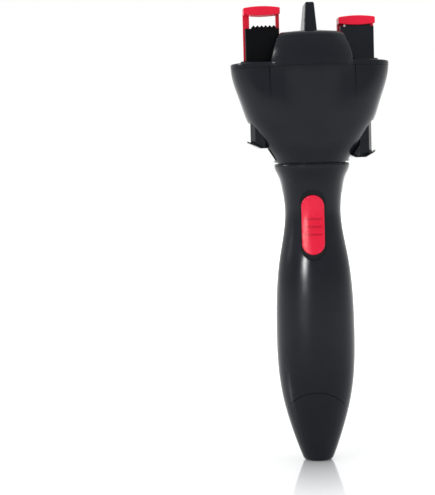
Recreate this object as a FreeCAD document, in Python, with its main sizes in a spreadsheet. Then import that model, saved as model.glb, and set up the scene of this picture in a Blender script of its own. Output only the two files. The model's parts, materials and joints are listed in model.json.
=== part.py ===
"""Battery hair twister: a handle with motor and two cells, and a turning head with two clips.

Millimetres. The origin is at the tip of the handle, +Z runs up the handle and -Y is the front,
the side with the switch.
"""
import FreeCAD, Part
import math
import os
import Sketcher
from FreeCAD import Placement, Rotation, Vector

UP = Vector(0, 0, 1)

# ------------------------------------------------------------------ driving dimensions
# Handle outline: half width and half depth of each oval station, from the tip up.
HANDLE_STATIONS = {
    "tip": (7.2, 6.6),
    "toe": (11.7, 10.3),
    "cap": (16.9, 15.0),
    "palm": (19.4, 17.4),
    "belly": (20.1, 18.1),
    "thumb": (19.6, 17.7),
    "shoulder": (17.7, 16.6),
    "neck": (15.5, 14.9),
    "waist": (14.3, 14.0),
    "flare": (15.5, 15.5),
    "throat": (17.3, 17.3),
    "collar": (19.1, 19.1),
    "brim": (18.95, 18.95),
    "mouth": (18.4, 18.4),
}
# Head cup outline, from the neck up: radius of the round core, radius of the side lobes, how far
# the lobes stand inside the clip axes, and width of the blend between core and lobe.
CUP_STATIONS = {
    "seat": (18.9, 18.2, 23.7, 0.5),
    "root": (19.4, 18.6, 22.8, 3.0),
    "bell": (20.5, 18.2, 20.0, 6.0),
    "flank": (21.7, 17.6, 16.0, 8.0),
    "step": (23.2, 16.6, 9.0, 12.0),
    "cheek": (24.4, 15.9, 5.7, 14.0),
    "brow": (25.6, 15.5, 2.0, 13.5),
    "lip": (26.5, 15.9, 0.2, 7.0),
    "rim": (26.6, 16.2, 0.0, 1.5),
}
SIZES = {
    # walls and clearances
    "shell_wall": 1.8,
    "cup_wall": 2.0,
    "part_gap": 0.3,
    "running_gap": 0.04,
    "washer_gap": 0.1,
    # rest angles: head on the handle, clips on the head (degrees), lift of the open hook
    "head_turn": 5.0,
    "left_clip_turn": 2.0,
    "right_clip_turn": 2.0,
    "left_hook_lift": 5.8,
    "hook_travel": 7.5,
    # heights of the outline's stations: from the tip, then from the piece that each goes with
    "tip_height": 0.0,
    "toe_height": 12.0,
    "cap_height": 30.0,
    "palm_height": 46.3,
    "belly_height": 64.0,
    "thumb_above_cells": 0.5,
    "shoulder_below_motor": 3.0,
    "neck_above_motor_foot": 9.0,
    "waist_below_motor_top": 4.0,
    "flare_below_plate": 1.5,
    "throat_below_ledge": 0.5,
    "brim_below_mouth": 0.4,
    "tip_round": 2.6,
    "seat_rise": 0.6,
    "root_rise": 3.0,
    "bell_rise": 6.5,
    "flank_rise": 11.5,
    "step_rise": 21.0,
    "cheek_rise": 28.0,
    "brow_rise": 37.0,
    "lip_drop": 6.0,
    # battery cap and cells
    "cap_arch_radius": 17.0,
    "cap_arch_height": 20.0,
    "cap_seam": 0.25,
    "cap_floor": 2.5,
    "shelf_bottom": 28.0,
    "shelf_thickness": 2.0,
    "shelf_hole": 4.0,
    "tongue_length": 12.0,
    "tongue_half_width": 6.5,
    "tongue_outer": 11.0,
    "tongue_inner": 9.6,
    "cell_radius": 7.25,
    "cell_offset": 7.5,
    "cell_spring_length": 4.4,
    "cell_length": 50.5,
    "nub_radius": 2.75,
    "nub_height": 1.2,
    "cell_play": 0.2,
    "contact_thickness": 0.6,
    "contact_half_width": 11.5,
    "contact_half_depth": 4.0,
    "cell_spring_radius": 2.6,
    "cell_spring_wire": 0.35,
    "cell_spring_turns": 3.0,
    # ribs inside the shells
    "rib_thickness": 1.5,
    "lower_rib_rise": 13.0,
    "middle_rib_rise": 31.0,
    "wire_hole": 3.0,
    "motor_rib_inset": 5.0,
    # motor
    "motor_offset": 2.8,
    "motor_rise": 21.5,
    "motor_length": 25.0,
    "motor_radius": 10.0,
    "motor_half_depth": 7.5,
    "end_cap_length": 4.0,
    "motor_boss_radius": 3.0,
    "motor_boss_length": 1.5,
    "motor_shaft_radius": 1.0,
    "terminal_length": 4.0,
    "terminal_offset": 5.0,
    # gearbox
    "plate_thickness": 1.5,
    "base_plate_radius": 10.6,
    "output_play": 1.0,
    "top_plate_radius": 13.6,
    "pillar_radius": 1.5,
    "pillar_circle": 9.0,
    "train_module": 0.4,
    "motor_pinion_teeth": 9,
    "reduction_wheel_teeth": 24,
    "reduction_pinion_teeth": 10,
    "output_teeth": 24,
    "train_backlash": 0.08,
    "pin_radius": 0.75,
    "wheel_rise": 2.6,
    "wheel_thickness": 2.6,
    "output_rise": 0.8,
    "output_thickness": 3.0,
    "pinion_rise": 2.4,
    "pinion_length": 3.0,
    # drive shaft, its bushes and the neck post that carries the head
    "shaft_radius": 2.0,
    "shaft_reach": 5.3,
    "lower_bush_radius": 3.0,
    "bush_flange_radius": 4.0,
    "lower_bush_length": 3.0,
    "ledge_rise": 4.0,
    "ledge_bore": 13.0,
    "post_flange_thickness": 2.5,
    "post_radius": 7.0,
    "post_bore": 4.0,
    "post_spare": 0.7,
    "upper_bush_rise": 2.0,
    "washer_radius": 9.0,
    "washer_thickness": 1.1,
    "nut_radius": 9.0,
    "nut_thickness": 3.0,
    # shell screws
    "screw_radius": 1.0,
    "screw_head_radius": 1.6,
    "screw_head_height": 1.4,
    "lower_boss_radius": 3.0,
    "lower_screw_rise": 10.5,
    "lower_screw_seat": 12.0,
    "upper_boss_radius": 2.4,
    "upper_screw_seat": 9.0,
    "upper_screw_offset": 9.5,
    "screw_depth": 6.0,
    # switch
    "switch_below_motor_top": 10.0,
    "switch_travel": 2.5,
    "button_half_width": 5.75,
    "button_length": 30.0,
    "button_proud": 0.9,
    "button_rib_proud": 0.8,
    "button_rib_height": 1.3,
    "button_rib_pitch": 3.9,
    "button_rib_half_width": 4.3,
    "button_round": 0.8,
    "recess_half_width": 6.5,
    "recess_length": 35.7,
    "recess_floor": 12.0,
    "recess_plate": 1.2,
    "stem_half_width": 2.0,
    "stem_half_length": 3.5,
    "stem_reach": 8.6,
    "housing_back": 5.3,
    "housing_half_width": 4.0,
    "housing_half_length": 10.0,
    "actuator_back": 6.8,
    # head cup and cover
    "hub_radius": 9.8,
    "hub_length": 10.0,
    "cup_floor_rise": 3.0,
    "neck_gap": 0.4,
    "skirt_radius": 15.2,
    "skirt_ring_radius": 17.4,
    "skirt_ring_height": 1.5,
    "pocket_radius": 9.3,
    "pocket_rise": 1.7,
    "pocket_height": 19.3,
    "pocket_wall": 1.5,
    "cover_below_disc": 0.1,
    "cover_lip": 2.2,
    "cover_lip_play": 0.5,
    "cover_lip_wall": 1.0,
    "cover_thickness": 2.5,
    "cover_round": 0.8,
    "seam_height": 0.3,
    "seam_depth": 0.6,
    "clip_hole_radius": 11.3,
    "dome_half_width": 20.4,
    "dome_mid_width": 18.8,
    "dome_shoulder_width": 16.1,
    "dome_crown_width": 12.9,
    "dome_mid_rise": 7.2,
    "dome_shoulder_rise": 5.8,
    "dome_crown_rise": 2.1,
    "dome_top_rise": 1.3,
    "dome_round": 2.0,
    "dome_recess_radius": 12.0,
    "dome_wall": 1.8,
    "dome_front_taper": 3.2,
    "dome_step": 0.2,
    "boss_radius": 5.0,
    "pillar_post_radius": 2.2,
    "pillar_post_x": 9.0,
    "pillar_post_y": 18.8,
    # divider fin on the dome
    "fin_depth": 2.0,
    "fin_height": 13.4,
    "fin_base_half_width": 3.35,
    "fin_top_half_width": 2.25,
    "fin_base_front": 12.0,
    "fin_base_back": 16.0,
    "fin_top_front": 9.2,
    "fin_top_back": 6.0,
    "fin_edge_radius": 1.0,
    # carrier plate and clip gears
    "carrier_thickness": 2.0,
    "carrier_radius": 22.4,
    "carrier_lobe_radius": 8.7,
    "carrier_shaft_hole": 4.5,
    "carrier_screw_radius": 0.9,
    "carrier_screw_head": 1.8,
    "gear_rise": 0.4,
    "gear_thickness": 4.0,
    "clip_module": 1.0,
    "sun_teeth": 30,
    "clip_teeth": 18,
    "clip_backlash": 0.12,
    # clip rotor and body
    "journal_radius": 5.0,
    "rotor_bore": 1.95,
    "rotor_reach": 6.3,
    "rotor_flange_radius": 7.8,
    "rotor_flange_thickness": 0.6,
    "circlip_radius": 6.6,
    "circlip_thickness": 0.7,
    "disc_radius": 11.0,
    "crossbar_play": 0.5,
    "disc_thickness": 3.6,
    "web_outer": 6.4,
    "web_inner": 3.7,
    "web_half_width": 5.0,
    "jaw_half_width": 8.5,
    "jaw_front": 4.5,
    "jaw_middle": 1.0,
    "jaw_height": 16.3,
    "jaw_round": 0.5,
    "tooth_bar_left": 5.3,
    "tooth_bar_right": 7.1,
    "tooth_bar_front": 3.0,
    "tooth_bar_back": 0.8,
    "tooth_root_rise": 0.8,
    "tooth_height": 1.0,
    "tooth_count": 6,
    # hook
    "hook_half_width": 9.25,
    "left_leg_width": 3.2,
    "right_leg_width": 1.75,
    "leg_front": 1.3,
    "leg_back": 4.0,
    "hook_bar_height": 4.8,
    "hook_round": 0.5,
    "hook_corner_drop": 0.8,
    "hook_lip_gap": 0.7,
    "hook_lip_rise": 0.7,
    "hook_pocket_gap": 0.5,
    "hook_lip_wall": 1.1,
    "crossbar_thickness": 2.0,
    "crossbar_front": 1.6,
    "stem_radius": 1.6,
    # push button under each clip, its screw and its spring
    "push_radius": 6.9,
    "push_bore": 5.6,
    "push_length": 20.2,
    "push_floor_rise": 3.2,
    "foot_gap": 0.6,
    "foot_radius": 8.7,
    "foot_flat": 2.5,
    "foot_rise": 3.0,
    "foot_thickness": 0.8,
    "push_screw_head": 2.0,
    "push_screw_head_height": 1.2,
    "push_screw_length": 8.0,
    "push_screw_radius": 0.8,
    "hook_spring_radius": 4.2,
    "hook_spring_wire": 0.35,
    "hook_spring_turns": 6.0,
}
for station, values in HANDLE_STATIONS.items():
    for word, value in zip(("half_width", "half_depth"), values):
        SIZES[f"{station}_{word}"] = value
for station, values in CUP_STATIONS.items():
    for word, value in zip(("core", "lobe", "lobe_inset", "blend"), values):
        SIZES[f"{station}_{word}"] = value

doc = FreeCAD.newDocument("HairTwister")
sheet = doc.addObject("Spreadsheet::Sheet", "Sizes")
for row, (alias, value) in enumerate(SIZES.items(), start=1):
    sheet.set(f"A{row}", alias)
    sheet.set(f"B{row}", str(value))
    sheet.setAlias(f"B{row}", alias)
doc.recompute()


class Length(float):
    """A number that remembers the formula on the sheet that it comes from."""

    def __new__(cls, number, formula):
        length = super().__new__(cls, number)
        length.formula = formula
        return length

    def __add__(self, other):
        return Length(float(self) + float(other), f"({self.formula} + {formula_of(other)})")

    def __radd__(self, other):
        return Length(float(other) + float(self), f"({formula_of(other)} + {self.formula})")

    def __sub__(self, other):
        return Length(float(self) - float(other), f"({self.formula} - {formula_of(other)})")

    def __rsub__(self, other):
        return Length(float(other) - float(self), f"({formula_of(other)} - {self.formula})")

    def __mul__(self, other):
        return Length(float(self) * float(other), f"({self.formula} * {formula_of(other)})")

    __rmul__ = __mul__

    def __truediv__(self, other):
        return Length(float(self) / float(other), f"({self.formula} / {formula_of(other)})")

    def __neg__(self):
        return Length(-float(self), f"(-1 * {self.formula})")


def formula_of(number):
    """Text of a number for an expression."""
    return number.formula if isinstance(number, Length) else repr(float(number))


class SheetSizes:
    """The sheet's cells as attributes, and the places worked out from them."""

    def __getattr__(self, alias):
        return Length(sheet.get(alias), f"Sizes.{alias}")


S = SheetSizes()
# Heights, each stacked on the piece below it.
S.shelf_top = S.shelf_bottom + S.shelf_thickness
S.tongue_top = S.shelf_bottom + S.tongue_length
S.strip_top = S.shelf_top + S.contact_thickness
S.cell_bottom = S.strip_top + S.cell_spring_length
S.cell_top = S.cell_bottom + S.cell_length
S.lower_rib_height = S.cell_bottom + S.lower_rib_rise
S.middle_rib_height = S.cell_bottom + S.middle_rib_rise
S.lower_screw_height = S.cell_top + S.lower_screw_rise
S.motor_bottom = S.cell_top + S.motor_rise
S.motor_top = S.motor_bottom + S.motor_length
S.motor_rib_low = S.motor_bottom + S.motor_rib_inset
S.motor_rib_high = S.motor_top - S.motor_rib_inset
S.switch_height = S.motor_top - S.switch_below_motor_top
S.pinion_bottom = S.motor_top + S.pinion_rise
S.pinion_top = S.pinion_bottom + S.pinion_length
S.wheel_bottom = S.motor_top + S.wheel_rise
S.wheel_top = S.wheel_bottom + S.wheel_thickness
S.output_bottom = S.wheel_top + S.output_rise
S.output_top = S.output_bottom + S.output_thickness
S.top_plate_height = S.output_top + S.output_play
S.plate_top = S.top_plate_height + S.plate_thickness
S.upper_screw_height = S.plate_top + S.upper_boss_radius + S.part_gap
S.ledge_height = S.plate_top + S.ledge_rise
S.flange_bottom = S.ledge_height + S.rib_thickness
S.collar_height = S.flange_bottom + S.post_flange_thickness
S.mouth_height = S.collar_height + S.rib_thickness
S.post_flange_radius = S.throat_half_width - S.shell_wall
S.thumb_height = S.cell_top + S.thumb_above_cells
S.shoulder_height = S.motor_bottom - S.shoulder_below_motor
S.neck_height = S.motor_bottom + S.neck_above_motor_foot
S.waist_height = S.motor_top - S.waist_below_motor_top
S.flare_height = S.top_plate_height - S.flare_below_plate
S.throat_height = S.ledge_height - S.throat_below_ledge
S.brim_height = S.mouth_height - S.brim_below_mouth
# The head turns on a washer on the handle's mouth.
S.washer_top = S.mouth_height + S.washer_thickness
S.hub_bottom = S.mouth_height + S.neck_gap
S.skirt_ring_top = S.mouth_height + S.skirt_ring_height
S.cup_floor_top = S.mouth_height + S.cup_floor_rise
S.hub_top = S.cup_floor_top + S.hub_length
S.nut_bottom = S.hub_top + S.part_gap
S.post_top = S.nut_bottom + S.nut_thickness + S.post_spare
S.upper_bush_bottom = S.cup_floor_top + S.upper_bush_rise
S.pocket_bottom = S.mouth_height + S.pocket_rise
S.pocket_top = S.pocket_bottom + S.pocket_height
S.foot_bottom = S.pocket_bottom + S.foot_gap
S.push_floor = S.foot_bottom + S.push_floor_rise
S.push_top = S.foot_bottom + S.push_length
# The circlip clears the raised button, and the clip's disc clears the raised crossbar.
S.circlip_bottom = S.push_top + S.hook_travel + S.part_gap
S.circlip_top = S.circlip_bottom + S.circlip_thickness
S.carrier_bottom = S.circlip_top + S.part_gap
S.carrier_top = S.carrier_bottom + S.carrier_thickness
S.rotor_bottom = S.carrier_bottom - S.rotor_reach
S.gear_bottom = S.carrier_top + S.gear_rise
S.gear_top = S.gear_bottom + S.gear_thickness
S.shaft_top = S.gear_top + S.shaft_reach
S.crossbar_bottom = S.gear_top + S.rotor_flange_thickness + S.part_gap
S.crossbar_top = S.crossbar_bottom + S.crossbar_thickness
S.crossbar_back = S.web_inner - S.part_gap - S.washer_gap
S.disc_bottom = S.crossbar_top + S.hook_travel + S.crossbar_play
S.disc_top = S.disc_bottom + S.disc_thickness
S.cover_bottom = S.disc_bottom - S.cover_below_disc
S.cover_top = S.cover_bottom + S.cover_thickness
S.jaw_shoulder = S.disc_top + S.jaw_height
S.tooth_root = S.jaw_shoulder + S.tooth_root_rise
S.tooth_tip = S.tooth_root + S.tooth_height
S.hook_lip = S.jaw_shoulder + S.hook_lip_gap
S.hook_crown = S.hook_lip + S.hook_bar_height
S.hook_pocket_top = S.tooth_tip + S.hook_pocket_gap
S.dome_mid_height = S.cover_top + S.dome_mid_rise
S.dome_shoulder_height = S.dome_mid_height + S.dome_shoulder_rise
S.dome_crown_height = S.dome_shoulder_height + S.dome_crown_rise
S.dome_top = S.dome_crown_height + S.dome_top_rise
S.fin_bottom = S.dome_top - S.fin_depth
S.fin_top = S.dome_top + S.fin_height
S.seat_height = S.mouth_height + S.seat_rise
S.root_height = S.mouth_height + S.root_rise
S.bell_height = S.mouth_height + S.bell_rise
S.flank_height = S.mouth_height + S.flank_rise
S.step_height = S.mouth_height + S.step_rise
S.cheek_height = S.mouth_height + S.cheek_rise
S.brow_height = S.mouth_height + S.brow_rise
S.lip_height = S.cover_top - S.lip_drop
S.rim_height = S.cover_top
# The clip gears mesh with the sun gear, and the lobes of the cup stand round their axes.
S.clip_axis = S.clip_module * (S.sun_teeth + S.clip_teeth) / 2


def bind(item, path, number):
    """Set one property from the sheet."""
    item.setExpression(path, formula_of(number))


# ------------------------------------------------------------------ builders
def fresh_name(word):
    """A free internal name in the document."""
    index = len(doc.Objects)
    return f"{word}_{index}"


def move(item, across=0, deep=0, up=0):
    """Bind the place of a primitive."""
    bind(item, "Placement.Base.x", across)
    bind(item, "Placement.Base.y", deep)
    bind(item, "Placement.Base.z", up)
    return item


def cylinder(radius, height, across=0, deep=0, up=0):
    """Upright cylinder standing on height up."""
    item = doc.addObject("Part::Cylinder", fresh_name("cylinder"))
    bind(item, "Radius", radius)
    bind(item, "Height", height)
    return move(item, across, deep, up)


def rod(radius, start, end, across, up):
    """Cylinder along Y from start to end."""
    item = doc.addObject("Part::Cylinder", fresh_name("rod"))
    bind(item, "Radius", radius)
    bind(item, "Height", end - start)
    item.Placement = Placement(Vector(0, 0, 0), Rotation(Vector(1, 0, 0), -90))
    return move(item, across, start, up)


def block(low, high):
    """Box between two corners, each three numbers."""
    item = doc.addObject("Part::Box", fresh_name("block"))
    for path, near, far in zip(("Length", "Width", "Height"), low, high):
        bind(item, path, far - near)
    return move(item, *low)


def joined(*items):
    """Union of several objects."""
    item = doc.addObject("Part::MultiFuse", fresh_name("joined"))
    item.Shapes = list(items)
    return item


def shared(first, second):
    """Common volume of two objects."""
    item = doc.addObject("Part::MultiCommon", fresh_name("shared"))
    item.Shapes = [first, second]
    return item


def without(base, *tools):
    """The base less every tool."""
    item = doc.addObject("Part::Cut", fresh_name("without"))
    item.Base = base
    item.Tool = tools[0] if len(tools) == 1 else joined(*tools)
    return item


def shaped(shape, word="shaped"):
    """Object whose shape is made in code."""
    item = doc.addObject("Part::Feature", fresh_name(word))
    item.Shape = shape
    return item


def new_sketch(body, role):
    """Empty sketch on one of the body's own origin planes."""
    plane = next(feature for feature in body.Origin.OriginFeatures if feature.Role == role)
    sketch = body.newObject("Sketcher::SketchObject", fresh_name("sketch"))
    sketch.AttachmentSupport = (plane, [""])
    sketch.MapMode = "FlatFace"
    return sketch


def pin_point(sketch, index, point):
    """Fix the start of line number index at a point given by two lengths."""
    for kind, axis, number in (("DistanceX", -2, point[0]), ("DistanceY", -1, point[1])):
        if float(number) == 0.0:
            sketch.addConstraint(Sketcher.Constraint("PointOnObject", index, 1, axis))
            continue
        datum = sketch.addConstraint(Sketcher.Constraint(kind, -1, 1, index, 1, float(number)))
        bind(sketch, f"Constraints[{datum}]", number)


def polygon_sketch(body, role, points):
    """Closed polygon whose corners are bound to the sheet."""
    sketch = new_sketch(body, role)
    corners = [Vector(point[0], point[1], 0) for point in points]
    for index, corner in enumerate(corners):
        following = corners[(index + 1) % len(corners)]
        sketch.addGeometry(Part.LineSegment(corner, following), False)
    for index in range(len(corners)):
        following = (index + 1) % len(corners)
        sketch.addConstraint(Sketcher.Constraint("Coincident", index, 2, following, 1))
    for index, point in enumerate(points):
        pin_point(sketch, index, point)
    return sketch


def turned(points):
    """Body of revolution about Z from a profile of (radius, height) corners."""
    body = doc.addObject("PartDesign::Body", fresh_name("turned"))
    sketch = polygon_sketch(body, "XZ_Plane", points)
    revolution = body.newObject("PartDesign::Revolution", fresh_name("revolution"))
    revolution.Profile = sketch
    revolution.ReferenceAxis = (sketch, ["V_Axis"])
    revolution.Angle = 360
    body.Tip = revolution
    return body


def ring_points(inner, outer, bottom, top):
    """Profile of a plain ring."""
    return [(inner, bottom), (outer, bottom), (outer, top), (inner, top)]


def profiled(points, half_depth):
    """Body extruded both ways along Y from a profile of (across, up) corners."""
    body = doc.addObject("PartDesign::Body", fresh_name("profiled"))
    sketch = polygon_sketch(body, "XZ_Plane", points)
    pad = body.newObject("PartDesign::Pad", fresh_name("pad"))
    pad.Profile = sketch
    pad.SideType = "Symmetric"
    bind(pad, "Length", half_depth * 2)
    body.Tip = pad
    return body


def plate(bottom, thickness, radius, holes):
    """Round plate with holes, each (across, deep, radius)."""
    body = doc.addObject("PartDesign::Body", fresh_name("plate"))
    sketch = new_sketch(body, "XY_Plane")
    bind(sketch, "AttachmentOffset.Base.z", bottom)
    for index, (across, deep, size) in enumerate([(0, 0, radius)] + holes):
        centre = Vector(across, deep, 0)
        sketch.addGeometry(Part.Circle(centre, UP, size), False)
        datum = sketch.addConstraint(Sketcher.Constraint("Radius", index, float(size)))
        bind(sketch, f"Constraints[{datum}]", size)
        for kind, axis, number in (("DistanceX", -2, across), ("DistanceY", -1, deep)):
            if float(number) == 0.0:
                sketch.addConstraint(Sketcher.Constraint("PointOnObject", index, 3, axis))
                continue
            datum = sketch.addConstraint(Sketcher.Constraint(kind, -1, 1, index, 3, float(number)))
            bind(sketch, f"Constraints[{datum}]", number)
    pad = body.newObject("PartDesign::Pad", fresh_name("pad"))
    pad.Profile = sketch
    bind(pad, "Length", thickness)
    body.Tip = pad
    return body


NODES = {}


def node(name, item, place=None):
    """Name one finished sub-part and put it in its place."""
    item.Label = name
    NODES[name] = (item, place)
    return item


def rounded(base, radius, pick):
    """Fillet on those edges of the base that pick chooses."""
    doc.recompute()
    item = doc.addObject("Part::Fillet", fresh_name("rounded"))
    item.Base = base
    item.Edges = [(index, float(radius), float(radius))
                  for index, edge in enumerate(base.Shape.Edges, start=1) if pick(edge)]
    return item


# ------------------------------------------------------------------ outlines made in code
OVAL_POINTS = 32
LOBED_POINTS = 72


def closed_spline(points):
    """Smooth closed wire through points."""
    curve = Part.BSplineCurve()
    curve.interpolate(points, PeriodicFlag=True)
    return Part.Wire(curve.toShape())


def oval_wire(height, half_width, half_depth):
    """Oval across the handle at one height."""
    angles = [2 * math.pi * step / OVAL_POINTS for step in range(OVAL_POINTS)]
    return closed_spline([Vector(half_width * math.cos(a), half_depth * math.sin(a), height)
                          for a in angles])


def handle_loft(offset):
    """Solid inside the handle's outline moved out by offset."""
    wires = []
    for name in HANDLE_STATIONS:
        height = getattr(S, f"{name}_height")
        half_width = getattr(S, f"{name}_half_width") + offset
        half_depth = getattr(S, f"{name}_half_depth") + offset
        wires.append(oval_wire(height, half_width, half_depth))
    return shaped(Part.makeLoft(wires, True, False), "handle_loft")


def lobed_radius(angle, core, lobe, lobe_axis, blend):
    """Distance from the axis to the outline of a round core with a lobe on each side."""
    near, far = 0.0, 100.0
    for _ in range(48):
        middle = (near + far) / 2
        across, deep = middle * math.cos(angle), middle * math.sin(angle)
        to_core = middle - core
        to_lobe = math.hypot(abs(across) - lobe_axis, deep) - lobe
        overlap = max(blend - abs(to_core - to_lobe), 0.0)
        if min(to_core, to_lobe) - overlap ** 2 / (4 * blend) > 0:
            far = middle
        else:
            near = middle
    return near


def lobed_wire(name, offset, height=None):
    """Outline of the cup at one station, moved out by offset."""
    core, lobe, lobe_inset, blend = (float(getattr(S, f"{name}_{word}"))
                                     for word in ("core", "lobe", "lobe_inset", "blend"))
    lobe_axis = float(S.clip_axis) - lobe_inset
    level = getattr(S, f"{name}_height") if height is None else height
    points = []
    for step in range(LOBED_POINTS):
        angle = 2 * math.pi * step / LOBED_POINTS
        reach = lobed_radius(angle, core + offset, lobe + offset, lobe_axis, blend)
        points.append(Vector(reach * math.cos(angle), reach * math.sin(angle), level))
    return closed_spline(points)


def cup_loft(offset):
    """Solid inside the cup's outline moved out by offset."""
    wires = [lobed_wire(name, offset) for name in CUP_STATIONS]
    return shaped(Part.makeLoft(wires, True, False), "cup_loft")


def rim_slab(offset, bottom, top):
    """Upright slab with the outline of the rim moved out by offset."""
    face = Part.Face(lobed_wire("rim", offset, bottom))
    return shaped(face.extrude(Vector(0, 0, top - bottom)), "rim_slab")


# ------------------------------------------------------------------ gears
PRESSURE_ANGLE = math.radians(25)
ADDENDUM = 0.8
DEDENDUM = 1.1
FLANK_POINTS = 4


def involute(angle):
    """Involute function."""
    return math.tan(angle) - angle


def gear_face(module, teeth, backlash, phase, height):
    """Face of a spur gear with stub teeth, one tooth centred at the phase angle."""
    teeth = int(round(teeth))
    pitch = module * teeth / 2
    base = pitch * math.cos(PRESSURE_ANGLE)
    tip = pitch + ADDENDUM * module
    root = pitch - DEDENDUM * module
    start = max(base, root)
    half_tooth = math.pi / (2 * teeth) - backlash / (2 * pitch)
    flank = []
    for step in range(FLANK_POINTS):
        radius = start + (tip - start) * step / (FLANK_POINTS - 1)
        roll = involute(math.acos(min(base / radius, 1.0)))
        flank.append((radius, half_tooth + involute(PRESSURE_ANGLE) - roll))

    def at(radius, angle):
        return Vector(radius * math.cos(angle), radius * math.sin(angle), height)

    def arc(radius, first, last):
        return Part.Arc(at(radius, first), at(radius, (first + last) / 2), at(radius, last))

    def side(points):
        curve = Part.BSplineCurve()
        curve.interpolate(points)
        return curve

    edges = []
    for index in range(teeth):
        centre = phase + 2 * math.pi * index / teeth
        following = centre + 2 * math.pi / teeth
        rising = [at(radius, centre - width) for radius, width in flank]
        falling = [at(radius, centre + width) for radius, width in reversed(flank)]
        foot_width = flank[0][1]
        if root < base:
            edges.append(Part.LineSegment(at(root, centre - foot_width), rising[0]))
        edges.append(side(rising))
        edges.append(arc(tip, centre - flank[-1][1], centre + flank[-1][1]))
        edges.append(side(falling))
        if root < base:
            edges.append(Part.LineSegment(falling[-1], at(root, centre + foot_width)))
        edges.append(arc(root, centre + foot_width, following - foot_width))
    return Part.Face(Part.Wire([edge.toShape() for edge in edges]))


def gear(module, teeth, backlash, phase, bottom, thickness):
    """Spur gear blank standing on its bottom height, centred on Z."""
    face = gear_face(module, teeth, backlash, phase, bottom)
    return shaped(face.extrude(Vector(0, 0, thickness)), "gear")


def coil(radius, wire, bottom, top, turns):
    """Open coil spring of twelve-sided wire between two heights, measured over its wire."""
    height = top - bottom - 2 * wire
    path = Part.Wire(Part.makeLongHelix(height / turns, height, radius).Edges)
    around = [math.radians(30 * step) for step in range(13)]
    section = Part.makePolygon([Vector(radius + wire * math.cos(angle), 0,
                                       wire * math.sin(angle)) for angle in around])
    solid = path.makePipeShell([section], True, True)
    solid.translate(Vector(0, 0, bottom + wire))
    return solid


# ------------------------------------------------------------------ shared places
handle_outer = rounded(handle_loft(0), S.tip_round,
                       lambda edge: edge.BoundBox.ZMax < S.tip_height + S.tip_round / 2)
handle_inner = handle_loft(-S.shell_wall)
FAR = 60.0
MOTOR_TOP = S.motor_top
MODULE = S.train_module
WHEEL_DISTANCE = MODULE * (S.motor_pinion_teeth + S.reduction_wheel_teeth) / 2
OUTPUT_DISTANCE = MODULE * (S.output_teeth + S.reduction_pinion_teeth) / 2
# The reduction gear's pin is at one distance from the drive shaft and at another from the motor.
PIN_DEEP = (S.motor_offset * S.motor_offset + OUTPUT_DISTANCE * OUTPUT_DISTANCE
            - WHEEL_DISTANCE * WHEEL_DISTANCE) / (S.motor_offset * 2)
PIN_ACROSS = Length(-math.sqrt(OUTPUT_DISTANCE ** 2 - PIN_DEEP ** 2),
                    f"(-1 * sqrt(({OUTPUT_DISTANCE.formula})^2 - ({PIN_DEEP.formula})^2))")
PILLAR_ANGLES = (60.0, -10.0, -80.0)


def around(radius, degrees):
    """Point on a circle about the axis, bound to the sheet."""
    angle = math.radians(degrees)
    return radius * math.cos(angle), radius * math.sin(angle)


def in_head(across=0.0, turn=0.0, up=0.0):
    """Place of a piece that turns with the head, optionally on a clip axis and turned there."""
    head = Placement(Vector(0, 0, 0), Rotation(UP, float(S.head_turn)))
    return head.multiply(Placement(Vector(across, 0, up), Rotation(UP, float(turn))))


# ------------------------------------------------------------------ handle shells and cap
def arch_zone(grow):
    """Everything below the arched seam of the battery cap."""
    radius = S.cap_arch_radius + grow
    return joined(rod(radius, -FAR, FAR, 0, S.cap_arch_height),
                  block((-FAR, -FAR, -FAR), (FAR, FAR, S.cap_arch_height)))


def cell_pair(radius, bottom, top):
    """Two upright cylinders on the axes of the cells."""
    return [cylinder(radius, top - bottom, side * S.cell_offset, 0, bottom) for side in (-1, 1)]


def slab(bottom, thickness):
    """Wide plate across the handle."""
    return block((-FAR, -FAR, bottom), (FAR, FAR, bottom + thickness))


def handle_cavity():
    """The hollow inside the handle, less its ribs, ledges, bosses and switch plate."""
    ribs = []
    for height in (S.lower_rib_height, S.middle_rib_height):
        ribs.append(without(slab(height, S.rib_thickness),
                            *cell_pair(S.cell_radius + S.cell_play, height - 1,
                                       height + S.rib_thickness + 1)))
    stop = S.cell_bottom + S.cell_length + S.contact_thickness
    ribs.append(without(slab(stop, S.rib_thickness),
                        cylinder(S.wire_hole, S.rib_thickness + 2, 0, 0, stop - 1)))
    for height in (S.motor_rib_low, S.motor_rib_high):
        back_rib = block((-FAR, -S.housing_half_width, height),
                         (FAR, FAR, height + S.rib_thickness))
        ribs.append(without(back_rib, motor_envelope(S.cell_play)))
    ribs.append(without(slab(S.ledge_height, S.rib_thickness),
                        cylinder(S.ledge_bore, S.rib_thickness + 2, 0, 0, S.ledge_height - 1)))
    ribs.append(without(slab(S.collar_height, S.rib_thickness),
                        cylinder(S.post_radius + S.part_gap, S.rib_thickness + 2, 0, 0,
                                 S.collar_height - 1)))
    ribs.append(rod(S.lower_boss_radius, -FAR, FAR, 0, S.lower_screw_height))
    for side in (-1, 1):
        ribs.append(rod(S.upper_boss_radius, -FAR, FAR,
                        side * S.upper_screw_offset, S.upper_screw_height))
    half = S.recess_length / 2 + 2
    inner_face = S.recess_plate - S.recess_floor
    ribs.append(block((-S.recess_half_width - 2, -FAR, S.switch_height - half),
                      (S.recess_half_width + 2, inner_face, S.switch_height + half)))
    return without(handle_inner, *ribs)


def motor_envelope(grow):
    """Round can with two flats, larger by grow all round."""
    radius = S.motor_radius + grow
    depth = S.motor_half_depth + grow
    low = S.motor_bottom - grow
    can = cylinder(radius, S.motor_length + grow * 2, 0, S.motor_offset, low)
    flats = block((-FAR, S.motor_offset - depth, low),
                  (FAR, S.motor_offset + depth, low + S.motor_length + grow * 2))
    return shared(can, flats)


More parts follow.
